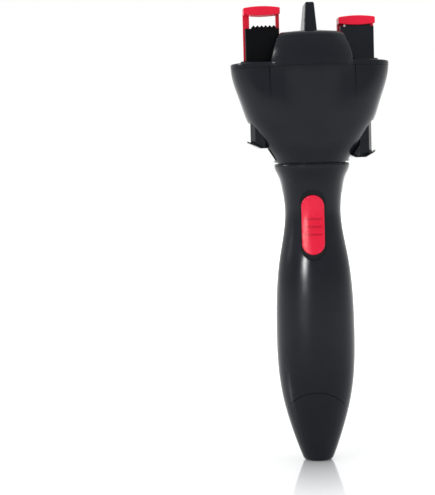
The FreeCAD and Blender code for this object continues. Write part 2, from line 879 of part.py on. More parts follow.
def stadium(half_width, length, start, end):
    """Upright slot shape along Y from start to end, centred on the switch."""
    straight = length / 2 - half_width
    ends = [rod(half_width, start, end, 0, S.switch_height + side * straight)
            for side in (-1, 1)]
    middle = block((-half_width, start, S.switch_height - straight),
                   (half_width, end, S.switch_height + straight))
    return joined(middle, *ends)


def screw_places():
    """Each shell screw: across, height, seat of its head."""
    lower = (0, S.lower_screw_height, S.lower_screw_seat)
    upper = [(side * S.upper_screw_offset, S.upper_screw_height, S.upper_screw_seat)
             for side in (-1, 1)]
    return [lower] + upper


# A ring on the mouth stands in a groove under the head, so that nothing shows through the gap.
mouth_ring = without(
    cylinder(S.skirt_ring_radius, S.skirt_ring_top - S.collar_height, 0, 0, S.collar_height),
    cylinder(S.skirt_radius + S.part_gap, S.skirt_ring_top, 0, 0, S.collar_height - 1))
handle_body = joined(without(handle_outer, handle_cavity(), arch_zone(S.cap_seam)), mouth_ring)
slot_half = S.stem_half_length + S.switch_travel + S.part_gap
switch_slot = block((-S.stem_half_width - S.part_gap, -FAR, S.switch_height - slot_half),
                    (S.stem_half_width + S.part_gap, -S.housing_back, S.switch_height + slot_half))
front_half = shared(handle_body, block((-FAR, -FAR, -FAR), (FAR, 0, FAR * 5)))
node("handle_front_shell", without(
    front_half,
    stadium(S.recess_half_width, S.recess_length, -FAR,
            -S.recess_floor),
    switch_slot,
    *[rod(S.screw_radius, -S.screw_depth, 1 + S.screw_depth, across, up)
      for across, up, seat in screw_places()]))
back_half = shared(handle_body, block((-FAR, 0, -FAR), (FAR, FAR, FAR * 5)))
node("handle_back_shell", without(
    back_half,
    *[rod(S.screw_radius, -S.screw_depth, seat + 1, across, up)
      for across, up, seat in screw_places()],
    *[rod(S.screw_head_radius + S.cell_play, seat, seat + FAR, across, up)
      for across, up, seat in screw_places()]))
node("shell_screws", joined(*[
    joined(rod(S.screw_radius, -S.screw_depth, seat, across, up),
           rod(S.screw_head_radius, seat, seat + S.screw_head_height, across, up))
    for across, up, seat in screw_places()]))


def battery_cap():
    """Lower end of the handle with a shelf for the contacts and two snap tongues."""
    hollow = shared(handle_inner, joined(
        block((-FAR, -FAR, S.cap_floor), (FAR, FAR, S.shelf_bottom)),
        block((-FAR, -FAR, S.shelf_top), (FAR, FAR, S.cap_height * 3))))
    shell = without(shared(handle_outer, arch_zone(0)), hollow,
                    cylinder(S.shelf_hole, S.shelf_top, 0, 0, S.cap_floor))
    tongues = [block((-S.tongue_half_width, low, S.shelf_bottom),
                     (S.tongue_half_width, high, S.tongue_top))
               for low, high in ((-S.tongue_outer, -S.tongue_inner),
                                 (S.tongue_inner, S.tongue_outer))]
    return joined(shell, *tongues)


node("battery_cap", battery_cap())
node("cap_contact_strip", block(
    (-S.contact_half_width, -S.contact_half_depth, S.shelf_top),
    (S.contact_half_width, S.contact_half_depth, S.strip_top)))


def cell_springs():
    """The two coils that press the cells up."""
    coils = []
    for side in (-1, 1):
        spring = coil(S.cell_spring_radius, S.cell_spring_wire, S.strip_top, S.cell_bottom,
                      S.cell_spring_turns)
        spring.translate(Vector(side * S.cell_offset, 0, 0))
        coils.append(spring)
    return shaped(Part.makeCompound(coils), "cell_springs")


node("cell_springs", cell_springs())


def cell(side, nub_up):
    """One cell: a can with a nub at one end."""
    can_top = S.cell_top - S.nub_height if nub_up else S.cell_top
    can_bottom = S.cell_bottom if nub_up else S.cell_bottom + S.nub_height
    can = cylinder(S.cell_radius, can_top - can_bottom, side * S.cell_offset, 0, can_bottom)
    nub_bottom = can_top if nub_up else S.cell_bottom
    nub = cylinder(S.nub_radius, S.nub_height, side * S.cell_offset, 0, nub_bottom)
    return joined(can, nub)


node("left_cell", cell(-1, True))
node("right_cell", cell(1, False))
node("upper_contacts", joined(*[
    block((side * S.cell_offset - S.contact_half_depth, -S.contact_half_depth, S.cell_top),
          (side * S.cell_offset + S.contact_half_depth, S.contact_half_depth,
           S.cell_top + S.contact_thickness)) for side in (-1, 1)]))

# ------------------------------------------------------------------ motor and gearbox
can_bottom = S.motor_bottom + S.end_cap_length
shaft_bore = cylinder(S.motor_shaft_radius + S.running_gap, S.motor_length * 2, 0,
                      S.motor_offset, S.motor_bottom - S.motor_length / 2)
motor_boss = cylinder(S.motor_boss_radius, S.motor_boss_length, 0, S.motor_offset, MOTOR_TOP)
upper_zone = block((-FAR, -FAR, can_bottom), (FAR, FAR, MOTOR_TOP))
lower_zone = block((-FAR, -FAR, S.motor_bottom), (FAR, FAR, can_bottom))
node("motor_can", without(
    joined(shared(motor_envelope(0), upper_zone), motor_boss), shaft_bore))
node("motor_end_cap", without(shared(motor_envelope(0), lower_zone), shaft_bore))
node("motor_terminals", joined(*[
    block((side * S.terminal_offset - 1, S.motor_offset - 0.25,
           S.motor_bottom - S.terminal_length),
          (side * S.terminal_offset + 1, S.motor_offset + 0.25, S.motor_bottom))
    for side in (-1, 1)]))
node("motor_shaft", cylinder(
    S.motor_shaft_radius, S.pinion_top - S.motor_bottom, 0, S.motor_offset,
    S.motor_bottom))
pin_direction = math.atan2(PIN_DEEP, PIN_ACROSS)
motor_direction = math.atan2(S.motor_offset - PIN_DEEP, -PIN_ACROSS)
pinion_phase = motor_direction + math.pi + math.pi / S.motor_pinion_teeth
motor_pinion = gear(MODULE, S.motor_pinion_teeth, S.train_backlash, pinion_phase,
                    S.pinion_bottom, S.pinion_length)
move(motor_pinion, 0, S.motor_offset, 0)
node("motor_pinion", without(motor_pinion, cylinder(
    S.motor_shaft_radius, S.motor_length, 0, S.motor_offset, MOTOR_TOP)))
node("gearbox_base_plate", plate(MOTOR_TOP, S.plate_thickness, S.base_plate_radius, [
    (0, S.motor_offset, S.motor_boss_radius + S.running_gap),
    (PIN_ACROSS, PIN_DEEP, S.pin_radius)]))
node("gearbox_top_plate", plate(S.top_plate_height, S.plate_thickness, S.top_plate_radius, [
    (0, 0, S.lower_bush_radius), (PIN_ACROSS, PIN_DEEP, S.pin_radius)]))
base_plate_top = MOTOR_TOP + S.plate_thickness
node("gearbox_pillars", joined(*[
    cylinder(S.pillar_radius, S.top_plate_height - base_plate_top,
             *around(S.pillar_circle, degrees), base_plate_top) for degrees in PILLAR_ANGLES]))
node("reduction_pin", cylinder(
    S.pin_radius, S.top_plate_height + S.plate_thickness - MOTOR_TOP, PIN_ACROSS, PIN_DEEP,
    MOTOR_TOP))
wheel = gear(MODULE, S.reduction_wheel_teeth, S.train_backlash, motor_direction,
             S.wheel_bottom, S.wheel_thickness)
small_phase = pin_direction + math.pi + math.pi / S.reduction_pinion_teeth
small = gear(MODULE, S.reduction_pinion_teeth, S.train_backlash, small_phase,
             S.wheel_top, S.output_top - S.wheel_top)
for blank in (wheel, small):
    move(blank, PIN_ACROSS, PIN_DEEP, 0)
node("reduction_gear", without(joined(wheel, small), cylinder(
    S.pin_radius + S.running_gap, S.motor_length, PIN_ACROSS, PIN_DEEP, MOTOR_TOP)))
output_blank = gear(MODULE, S.output_teeth, S.train_backlash, pin_direction,
                    S.output_bottom, S.output_thickness)
node("output_gear", without(output_blank, cylinder(
    S.shaft_radius, S.output_thickness + 2, 0, 0, S.output_bottom - 1)))
node("drive_shaft", cylinder(S.shaft_radius, S.shaft_top - S.output_bottom, 0, 0,
                             S.output_bottom), in_head())
bush_bore = S.shaft_radius + S.running_gap
bush_top = S.plate_top + S.plate_thickness
node("lower_shaft_bush", turned([
    (bush_bore, S.top_plate_height), (S.lower_bush_radius, S.top_plate_height),
    (S.lower_bush_radius, S.plate_top), (S.bush_flange_radius, S.plate_top),
    (S.bush_flange_radius, bush_top), (bush_bore, bush_top)]))

# ------------------------------------------------------------------ neck post and head bearing
node("neck_post", turned([
    (S.post_bore, S.flange_bottom), (S.post_flange_radius, S.flange_bottom),
    (S.post_flange_radius, S.collar_height), (S.post_radius, S.collar_height),
    (S.post_radius, S.post_top), (S.post_bore, S.post_top)]))
node("upper_shaft_bush", turned(ring_points(bush_bore, S.post_bore, S.upper_bush_bottom,
                                            S.post_top)))
node("head_washer", turned(ring_points(S.post_radius + S.washer_gap, S.washer_radius,
                                       S.mouth_height, S.washer_top)))
node("head_retaining_nut", turned(ring_points(S.post_radius, S.nut_radius, S.nut_bottom,
                                              S.nut_bottom + S.nut_thickness)))

# ------------------------------------------------------------------ switch
floor = S.recess_floor + S.part_gap
button_outline = stadium(S.button_half_width, S.button_length, -FAR,
                         -floor)
button_face = rounded(shared(button_outline, handle_loft(S.button_proud)), S.button_round,
                      lambda edge: edge.BoundBox.YMax < -floor - S.button_round)
rib_half = S.button_rib_height / 2
button_ribs = shared(joined(*[
    block((-S.button_rib_half_width, -FAR, S.switch_height + step * S.button_rib_pitch - rib_half),
          (S.button_rib_half_width, -floor, S.switch_height + step * S.button_rib_pitch + rib_half))
    for step in (-1, 0, 1)]), handle_loft(S.button_proud + S.button_rib_proud))
button_stem = block((-S.stem_half_width, -floor, S.switch_height - S.stem_half_length),
                    (S.stem_half_width, -S.stem_reach, S.switch_height + S.stem_half_length))
node("switch_button", joined(button_face, button_ribs, button_stem))
node("switch_actuator", block(
    (-S.stem_half_width, -S.stem_reach, S.switch_height - S.stem_half_length),
    (S.stem_half_width, -S.actuator_back, S.switch_height + S.stem_half_length)))
housing_front = S.recess_plate - S.recess_floor
node("switch_housing", without(
    block((-S.housing_half_width, housing_front, S.switch_height - S.housing_half_length),
          (S.housing_half_width, -S.housing_back, S.switch_height + S.housing_half_length)),
    block((-S.stem_half_width - S.part_gap, housing_front - 1, S.switch_height - slot_half),
          (S.stem_half_width + S.part_gap, S.part_gap - S.actuator_back,
           S.switch_height + slot_half))))
node("switch_terminals", joined(*[
    block((S.housing_half_width, -S.actuator_back - 0.5, S.switch_height + step * 5 - 1),
          (S.housing_half_width + 2, -S.actuator_back, S.switch_height + step * 5 + 1))
    for step in (-1, 0, 1)]))

# ------------------------------------------------------------------ head cup
cup_outer = cup_loft(0)
housing_radius = S.pocket_radius + S.pocket_wall
cup_cavity = without(
    cup_loft(-S.cup_wall),
    block((-FAR, -FAR, S.mouth_height), (FAR, FAR, S.cup_floor_top)),
    cylinder(S.hub_radius, S.hub_top - S.mouth_height, 0, 0, S.mouth_height),
    *[cylinder(housing_radius, S.pocket_top + S.pocket_wall - S.mouth_height,
               side * S.clip_axis, 0, S.mouth_height) for side in (-1, 1)])
post_hole = cylinder(S.post_radius + S.running_gap, FAR, 0, 0, S.mouth_height - 1)
washer_seat = cylinder(S.washer_radius + S.washer_gap,
                       S.washer_thickness + S.washer_gap + 1, 0, 0, S.mouth_height - 1)
hub_foot = cylinder(S.skirt_radius, S.cup_floor_top - S.hub_bottom, 0, 0, S.hub_bottom)
ring_groove = without(
    cylinder(S.skirt_ring_radius + S.part_gap, S.skirt_ring_height + S.part_gap, 0, 0,
             S.mouth_height),
    cylinder(S.skirt_radius, FAR, 0, 0, S.mouth_height - 1))
seam_bottom = S.cover_bottom - S.seam_height
seam_groove = without(rim_slab(1, seam_bottom, S.cover_bottom + 1),
                      rim_slab(-S.seam_depth, seam_bottom - 1, S.cover_bottom + 2))
pockets = [cylinder(S.pocket_radius, S.pocket_top - S.pocket_bottom, side * S.clip_axis, 0,
                    S.pocket_bottom) for side in (-1, 1)]
guide_bottom = S.pocket_top - 1
guide_top = S.push_top + S.hook_travel + S.part_gap
guides = [cylinder(S.push_radius + S.part_gap, guide_top - guide_bottom, side * S.clip_axis, 0,
                   guide_bottom) for side in (-1, 1)]
above_cup = block((-FAR, -FAR, S.cover_bottom), (FAR, FAR, S.rim_height + 1))
node("head_cup", without(joined(cup_outer, hub_foot), cup_cavity, post_hole, washer_seat,
                         ring_groove, seam_groove, above_cup, *pockets, *guides), in_head())


# ------------------------------------------------------------------ cover, dome and fin
def dome_prism(inset, base):
    """Front outline of the dome, drawn with arcs and extruded through the head."""
    right = [Vector(S.dome_half_width - inset, 0, base),
             Vector(S.dome_mid_width - inset, 0, S.dome_mid_height - inset),
             Vector(S.dome_shoulder_width - inset, 0, S.dome_shoulder_height - inset),
             Vector(S.dome_crown_width - inset, 0, S.dome_crown_height - inset)]
    left = [Vector(-point.x, 0, point.z) for point in right]
    top = Vector(0, 0, S.dome_top - inset)
    bulge = Vector((S.dome_shoulder_width + S.dome_crown_width) / 2 + 0.5 - inset, 0,
                   (S.dome_shoulder_height + S.dome_crown_height) / 2 + 0.4 - inset)
    opposite = Vector(-bulge.x, 0, bulge.z)
    edges = [Part.Arc(right[0], right[1], right[2]), Part.Arc(right[2], bulge, right[3]),
             Part.Arc(right[3], top, left[3]), Part.Arc(left[3], opposite, left[2]),
             Part.Arc(left[2], left[1], left[0]), Part.LineSegment(left[0], right[0])]
    face = Part.Face(Part.Wire([edge.toShape() for edge in edges]))
    face.translate(Vector(0, -FAR, 0))
    return shaped(face.extrude(Vector(0, 2 * FAR, 0)), "dome_prism")


def dome_round(inset, base):
    """Body of revolution that curves the dome's front and back."""
    reach = S.rim_core - S.dome_step - inset
    crown = S.dome_top + 0.5 - inset
    middle = reach - S.dome_front_taper * 0.35
    shoulder = reach - S.dome_front_taper
    bend = S.dome_shoulder_height - 1.5 - inset
    brink = S.dome_crown_height - 0.6 - inset
    edge = Part.Arc(Vector(reach, 0, base), Vector(middle, 0, S.dome_mid_height - inset),
                    Vector(shoulder, 0, bend))
    turn = Part.Arc(Vector(shoulder, 0, bend), Vector(shoulder - 1.3, 0, brink - 1.2),
                    Vector(shoulder - 4.0, 0, brink))
    lines = [Part.LineSegment(Vector(shoulder - 4.0, 0, brink), Vector(0, 0, crown)),
             Part.LineSegment(Vector(0, 0, crown), Vector(0, 0, base)),
             Part.LineSegment(Vector(0, 0, base), Vector(reach, 0, base))]
    wire = Part.Wire([edge.toShape() for edge in (edge, turn, *lines)])
    return shaped(Part.Face(wire).revolve(Vector(0, 0, 0), UP, 360), "dome_round")


def dome(inset, base):
    """Dome standing on base, with hollows at its sides, where the clips turn."""
    hollows = [cylinder(S.dome_recess_radius + inset, FAR, side * S.clip_axis, 0, base - 1)
               for side in (-1, 1)]
    return without(shared(dome_round(inset, base), dome_prism(inset, base)), *hollows)


def fin():
    """Tapered divider fin, sloping more at its back."""
    def corners(half_width, front, back, level):
        return Part.makePolygon([Vector(-half_width, -front, level),
                                 Vector(half_width, -front, level),
                                 Vector(half_width, back, level), Vector(-half_width, back, level),
                                 Vector(-half_width, -front, level)])
    base = corners(S.fin_base_half_width, S.fin_base_front, S.fin_base_back, S.fin_bottom)
    top = corners(S.fin_top_half_width, S.fin_top_front, S.fin_top_back, S.fin_top)
    solid = Part.makeLoft([base, top], True, True)
    raised = [edge for edge in solid.Edges if edge.BoundBox.ZMax > S.fin_bottom + 0.1]
    return solid.makeFillet(S.fin_edge_radius, raised)


fin_shape = fin()
pillar_places = [(across * S.pillar_post_x, deep * S.pillar_post_y)
                 for across in (-1, 1) for deep in (-1, 1)]
shaft_boss_bottom = S.gear_top + S.part_gap
posts = [cylinder(S.pillar_post_radius, FAR, across, deep, S.carrier_top)
         for across, deep in pillar_places]
boss = cylinder(S.boss_radius, FAR, 0, 0, shaft_boss_bottom)
low_zone = block((-FAR, -FAR, FAR), (FAR, FAR, S.cover_top - 1))
stems = joined(shared(joined(boss, *posts), low_zone))
lip_bottom = S.cover_bottom - S.cover_lip
lip_inset = S.cup_wall + S.cover_lip_play
lip = without(rim_slab(-lip_inset, lip_bottom, S.cover_bottom),
              rim_slab(-lip_inset - S.cover_lip_wall, lip_bottom - 1, S.cover_bottom + 1))
dome_hollow = without(dome(S.dome_wall, S.cover_bottom - 1), boss, *posts)
cover_plate = rounded(rim_slab(0, S.cover_bottom, S.cover_top), S.cover_round,
                      lambda edge: edge.BoundBox.ZMin > S.cover_top - S.cover_round)
dome_outer = rounded(dome(0, S.cover_bottom + 1), S.dome_round,
                     lambda edge: edge.BoundBox.ZLength > S.dome_mid_rise
                     and edge.BoundBox.XLength > S.dome_round)
screw_length = S.cover_bottom - S.carrier_top
carrier_screw_holes = [
    cylinder(S.carrier_screw_radius, screw_length, across, deep, S.carrier_top - 1)
    for across, deep in pillar_places]
node("head_cover", without(
    joined(without(cover_plate, *[cylinder(S.clip_hole_radius, FAR, side * S.clip_axis, 0,
                                           S.cover_bottom - 1) for side in (-1, 1)]),
           dome_outer, lip, stems),
    dome_hollow, shaped(fin_shape, "fin_slot"),
    cylinder(bush_bore, S.shaft_top + S.part_gap - FAR, 0, 0, FAR), *carrier_screw_holes),
    in_head())
node("divider_fin", shaped(fin_shape, "fin"), in_head())

# ------------------------------------------------------------------ carrier plate and sun gear
carrier_blank = joined(
    cylinder(S.carrier_radius, S.carrier_thickness, 0, 0, S.carrier_bottom),
    *[cylinder(S.carrier_lobe_radius, S.carrier_thickness, side * S.clip_axis, 0,
               S.carrier_bottom) for side in (-1, 1)])
journal_bore = S.journal_radius + S.running_gap
node("carrier_plate", without(
    carrier_blank,
    cylinder(S.carrier_shaft_hole, FAR, 0, 0, S.carrier_bottom - 1),
    *[cylinder(journal_bore, FAR, side * S.clip_axis, 0, S.carrier_bottom - 1)
      for side in (-1, 1)],
    *[cylinder(S.carrier_screw_radius, FAR, across, deep, S.carrier_bottom - 1)
      for across, deep in pillar_places]), in_head())
node("carrier_screws", joined(*[
    joined(cylinder(S.carrier_screw_head, S.plate_thickness, across, deep,
                    S.carrier_bottom - S.plate_thickness),
           cylinder(S.carrier_screw_radius, screw_length / 2, across, deep, S.carrier_bottom))
    for across, deep in pillar_places]), in_head())
sun = gear(S.clip_module, S.sun_teeth, S.clip_backlash, 0.0, S.gear_bottom, S.gear_thickness)
node("sun_gear", without(sun, cylinder(S.shaft_radius, FAR, 0, 0, S.gear_bottom - 1)), in_head())


# ------------------------------------------------------------------ clips
def jaw_block(left, front, right, back):
    """Upright block of the jaw with rounded upright edges."""
    return rounded(block((left, front, S.disc_bottom), (right, back, S.jaw_shoulder)),
                   S.jaw_round, lambda edge: edge.BoundBox.ZLength > S.jaw_height)


def leg_spans():
    """The two legs of the hook from side to side: the wide left one and the thin right one."""
    return [(-S.hook_half_width, S.left_leg_width - S.hook_half_width),
            (S.hook_half_width - S.right_leg_width, S.hook_half_width)]


def clip_body():
    """Toothed jaw on a round disc, with two webs down to the rotor."""
    disc = cylinder(S.disc_radius, S.disc_top - S.disc_bottom, 0, 0, S.disc_bottom)
    front = jaw_block(-S.jaw_half_width, -S.jaw_front, S.jaw_half_width, S.jaw_middle)
    (_, left_leg), (right_leg, _) = leg_spans()
    back = block((left_leg + S.part_gap, 0, S.disc_bottom),
                 (right_leg - S.part_gap, S.leg_back, S.jaw_shoulder))
    web_bottom = S.gear_top + S.rotor_flange_thickness
    webs = [block((-S.web_half_width, low, web_bottom), (S.web_half_width, high, S.disc_bottom))
            for low, high in ((-S.web_outer, -S.web_inner), (S.web_inner, S.web_outer))]
    pitch = (S.tooth_bar_left + S.tooth_bar_right) / S.tooth_count
    ridge = [(-S.tooth_bar_left, S.jaw_shoulder - 1),
             (S.tooth_bar_right, S.jaw_shoulder - 1), (S.tooth_bar_right, S.tooth_root)]
    for step in range(int(S.tooth_count)):
        right = S.tooth_bar_right - pitch * step
        ridge.append((right - pitch / 2, S.tooth_tip))
        ridge.append((right - pitch, S.tooth_root))
    teeth = profiled(ridge, (S.tooth_bar_front + S.tooth_bar_back) / 2)
    move(teeth, 0, (S.tooth_bar_back - S.tooth_bar_front) / 2, 0)
    slots = [block((low - S.part_gap, S.leg_front - S.part_gap, S.disc_bottom - 1),
                   (high + S.part_gap, S.leg_back + S.part_gap, S.disc_top + 1))
             for low, high in leg_spans()]
    return without(joined(disc, front, back, teeth, *webs), *slots)


def clip_rotor():
    """Journal with a flange that carries the webs, bored for the hook's stem."""
    flange_top = S.gear_top + S.rotor_flange_thickness
    return turned([(S.rotor_bore, S.rotor_bottom), (S.journal_radius, S.rotor_bottom),
                   (S.journal_radius, S.gear_top), (S.rotor_flange_radius, S.gear_top),
                   (S.rotor_flange_radius, flange_top), (S.rotor_bore, flange_top)])


def clip_gear(phase):
    """Gear on the rotor."""
    blank = gear(S.clip_module, S.clip_teeth, S.clip_backlash, phase, S.gear_bottom,
                 S.gear_thickness)
    return without(blank, cylinder(S.journal_radius, FAR, 0, 0, S.gear_bottom - 1))


def hook_bar():
    """Lens-shaped top bar of the hook, drawn with two arcs."""
    corner = S.hook_crown - S.hook_corner_drop
    lip = S.hook_lip + S.hook_lip_rise
    half = S.hook_half_width
    upper = Part.Arc(Vector(-half, 0, corner), Vector(0, 0, S.hook_crown), Vector(half, 0, corner))
    lower = Part.Arc(Vector(half, 0, lip), Vector(0, 0, S.hook_lip), Vector(-half, 0, lip))
    sides = [Part.LineSegment(Vector(half, 0, corner), Vector(half, 0, lip)),
             Part.LineSegment(Vector(-half, 0, lip), Vector(-half, 0, corner))]
    face = Part.Face(Part.Wire([edge.toShape() for edge in (upper, sides[0], lower, sides[1])]))
    face.translate(Vector(0, -S.jaw_front, 0))
    bar = shaped(face.extrude(Vector(0, S.jaw_front + S.leg_back, 0)), "hook_bar")
    return rounded(bar, S.hook_round, lambda edge: True)


def hook():
    """Red frame: top bar, two legs, a crossbar below the disc and a stem."""
    leg_top = S.hook_lip + S.hook_lip_rise + 1
    legs = [block((low, S.leg_front, S.crossbar_bottom), (high, S.leg_back, leg_top))
            for low, high in leg_spans()]
    crossbar = block((-S.hook_half_width, -S.crossbar_front, S.crossbar_bottom),
                     (S.hook_half_width, S.crossbar_back, S.crossbar_top))
    stem = cylinder(S.stem_radius, S.crossbar_top - S.push_floor, 0, 0, S.push_floor)
    pocket = block((-S.tooth_bar_left - S.part_gap, S.hook_lip_wall - S.jaw_front,
                    S.hook_lip - 1),
                   (S.tooth_bar_right + S.part_gap, S.tooth_bar_back + S.part_gap,
                    S.hook_pocket_top))
    screw_hole = cylinder(S.push_screw_radius, S.push_screw_length, 0, 0,
                          S.foot_bottom + S.push_screw_head_height)
    return without(joined(hook_bar(), crossbar, stem, *legs), pocket, screw_hole)


def push_button():
    """Eight-sided hollow button with a winged foot that the finger pushes up."""
    prism = doc.addObject("Part::Prism", fresh_name("prism"))
    prism.Polygon = 8
    bind(prism, "Circumradius", S.push_radius)
    bind(prism, "Height", S.push_top - S.foot_bottom)
    move(prism, 0, 0, S.foot_bottom)
    wing = S.foot_radius + 1
    rise = S.foot_rise * (wing - S.foot_flat) / (S.foot_radius - S.foot_flat)
    top = S.foot_bottom + S.foot_thickness
    above = profiled([(-wing, S.foot_bottom + rise), (-S.foot_flat, S.foot_bottom),
                      (S.foot_flat, S.foot_bottom), (wing, S.foot_bottom + rise),
                      (wing, S.push_top + 1), (-wing, S.push_top + 1)], wing)
    foot = profiled([(-wing, S.foot_bottom + rise), (-S.foot_flat, S.foot_bottom),
                     (S.foot_flat, S.foot_bottom), (wing, S.foot_bottom + rise),
                     (wing, top + rise), (S.foot_flat, top), (-S.foot_flat, top),
                     (-wing, top + rise)], wing)
    disc = cylinder(S.foot_radius, FAR, 0, 0, S.foot_bottom - 1)
    bore = cylinder(S.push_bore, FAR, 0, 0, S.push_floor)
    screw_hole = cylinder(S.push_screw_radius, FAR, 0, 0, S.foot_bottom - 1)
    head_seat = cylinder(S.push_screw_head, S.push_screw_head_height + 1, 0, 0,
                         S.foot_bottom - 1)
    return without(joined(shared(prism, above), shared(foot, disc)), bore, screw_hole, head_seat)


def push_screw():
    """Screw through the button's floor into the hook's stem."""
    head_top = S.foot_bottom + S.push_screw_head_height
    return turned([(0, S.foot_bottom), (S.push_screw_head, S.foot_bottom),
                   (S.push_screw_head, head_top), (S.push_screw_radius, head_top),
                   (S.push_screw_radius, head_top + S.push_screw_length),
                   (0, head_top + S.push_screw_length)])


def hook_spring(lift):
    """Coil between the button's floor and the rotor, shorter when the hook is lifted."""
    return shaped(coil(S.hook_spring_radius, S.hook_spring_wire, S.push_floor + lift,
                       S.rotor_bottom, S.hook_spring_turns), "hook_spring")


for side, word, turn, lift in ((-1, "left", S.left_clip_turn, S.left_hook_lift),
                               (1, "right", S.right_clip_turn, 0)):
    across = side * S.clip_axis
    fixed = in_head(across, turn)
    lifted = in_head(across, turn, lift)
    # A gap of the clip's gear faces the sun gear, whose tooth lies on the line of centres.
    toward_sun = math.pi if side > 0 else 0.0
    gear_phase = toward_sun + math.pi / S.clip_teeth
    node(f"{word}_clip_body", clip_body(), fixed)
    node(f"{word}_clip_rotor", clip_rotor(), fixed)
    node(f"{word}_clip_gear", clip_gear(gear_phase), in_head(across))
    node(f"{word}_rotor_circlip", turned(ring_points(
        S.journal_radius, S.circlip_radius, S.circlip_bottom, S.circlip_top)), fixed)
    node(f"{word}_hook", hook(), lifted)
    node(f"{word}_push_button", push_button(), lifted)
    node(f"{word}_push_screw", push_screw(), lifted)
    node(f"{word}_hook_spring", hook_spring(lift), fixed)

# ------------------------------------------------------------------ place, check and write
doc.recompute()
for item, place in NODES.values():
    if place is not None:
        item.Placement = place.multiply(item.Placement)
doc.recompute()
faults = [f"{item.Label}: {item.State}" for item in doc.Objects
          if {"Invalid", "Error"} & set(item.State)]
for name, (item, place) in NODES.items():
    if item.Shape.isNull() or not item.Shape.isValid() or not item.Shape.Solids:
        faults.append(f"{name}: no valid shape")
if faults:
    raise RuntimeError("; ".join(faults))
os.makedirs("parts", exist_ok=True)
for name, (item, place) in NODES.items():
    item.Shape.exportStep(f"parts/{name}.step")
    print(name, len(item.Shape.Solids), round(item.Shape.Volume, 1))
print(len(NODES), "nodes")
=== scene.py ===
"""Looks of the automatic hair braider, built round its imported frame. Metres, +Z up, front -Y."""
import json
import math

import bmesh
import bpy
from mathutils import Matrix, Vector


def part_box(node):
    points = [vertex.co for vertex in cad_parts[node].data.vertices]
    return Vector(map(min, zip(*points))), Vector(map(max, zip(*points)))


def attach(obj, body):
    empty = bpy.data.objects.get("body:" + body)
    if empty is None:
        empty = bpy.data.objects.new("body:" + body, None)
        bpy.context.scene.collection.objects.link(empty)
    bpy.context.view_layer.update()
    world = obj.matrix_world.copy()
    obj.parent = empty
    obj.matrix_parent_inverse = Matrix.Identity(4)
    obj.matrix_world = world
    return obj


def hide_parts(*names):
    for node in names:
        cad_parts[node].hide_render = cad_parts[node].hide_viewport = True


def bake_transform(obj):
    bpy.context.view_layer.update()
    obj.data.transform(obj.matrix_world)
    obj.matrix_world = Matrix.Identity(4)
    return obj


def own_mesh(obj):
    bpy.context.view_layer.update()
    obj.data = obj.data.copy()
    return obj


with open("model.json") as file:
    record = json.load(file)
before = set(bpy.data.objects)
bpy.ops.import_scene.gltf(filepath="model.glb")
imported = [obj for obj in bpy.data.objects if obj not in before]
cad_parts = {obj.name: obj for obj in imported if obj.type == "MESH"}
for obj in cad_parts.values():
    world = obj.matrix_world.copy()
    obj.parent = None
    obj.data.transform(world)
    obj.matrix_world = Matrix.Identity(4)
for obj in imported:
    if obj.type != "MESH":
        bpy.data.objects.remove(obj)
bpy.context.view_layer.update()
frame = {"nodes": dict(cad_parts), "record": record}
nodes = frame["nodes"]

# ------------------------------------------------------------------ sizes and levels
MM = 0.001
WHITE = (1.0, 1.0, 1.0)

# Noise patterns: waves per metre, detail, roughness, distortion.
FLOW_MARKS = (45.0, 4.0, 0.55, 0.6)
HANDLING_MARKS = (160.0, 5.0, 0.65, 1.2)
MOULD_WAVES = (55.0, 2.0)
MOULD_GRAIN = (2400.0, 2.0)
TURNING_LINES = (120.0, 4.0)
BOARD_TONE = (3.0,)
NOISE_LOW, NOISE_HIGH = 0.3, 0.7

# Bumps: strength and height.
WAVE_BUMP = (0.25, 0.06 * MM)
LINE_BUMP = (0.15, 0.05 * MM)
GRAIN_HEIGHT = 0.1 * MM
LINE_STRETCH = 40.0

# Painted shade along the two creases on the front of the cup, which is turned with the head.
HEAD_TURN = 5.0
CREASE_ACROSS = 21.3 * MM
CREASE_CORE, CREASE_EDGE = 0.12 * MM, 0.4 * MM
CREASE_FOOT, CREASE_TOP = 184 * MM, 198 * MM
CREASE_FRONT = 1.0 * MM
CREASE_SHADE_DEPTH = 0.25

# Thumb ridges on the switch button, with painted shade in the valley under each.
RIDGE_PITCH = 3.9 * MM
VALLEY_DROP = 0.9 * MM
VALLEY_CORE, VALLEY_EDGE = 0.1 * MM, 0.9 * MM
RIDGE_END, RIDGE_PAST_END = 4.3 * MM, 4.8 * MM
VALLEY_SHADE_DEPTH = 0.78

# Springs under the hooks.
COIL_TURNS = 6
COIL_STEPS = 24
COIL_SIDES = 12
COIL_WIRE = 0.35 * MM

# Floor: it glows white away from the braider, and mirrors only near its foot.
FLOOR_HALF = 6.0
GLOW_REACH = (0.1, 0.6)
GLOW_LEVEL = (0.2, 1.0)
POLISH_REACH = (0.0, 0.08)
POLISH_SHARE = (0.58, 0.14)
POLISH_ROUGHNESS = 0.06
BOARD_ROUGHNESS = 0.5
BOARD_SPECULAR = 0.3
SKY_COLOUR = (0.95, 0.97, 1.0)
SKY_LEVEL = 0.6

# Lamps: name, place, size, power, spread in degrees, height aimed at, lights, is mirrored.
LAMPS = (("key", (-0.9, -0.8, 1.0), (1.3, 1.3), 8.0, 180, 0.12, True, False),
         ("fill", (1.0, -0.5, 0.7), (0.5, 0.8), 3.0, 180, 0.12, True, False),
         ("top", (0.1, 0.3, 1.2), (0.8, 0.8), 4.0, 180, 0.12, True, False),
         ("window", (-0.19, -0.353, 0.15), (0.12, 0.05), 0.03, 18, 0.08, False, True),
         ("edge", (-0.95, 0.05, 0.55), (0.30, 0.50), 0.15, 16, 0.215, False, True))

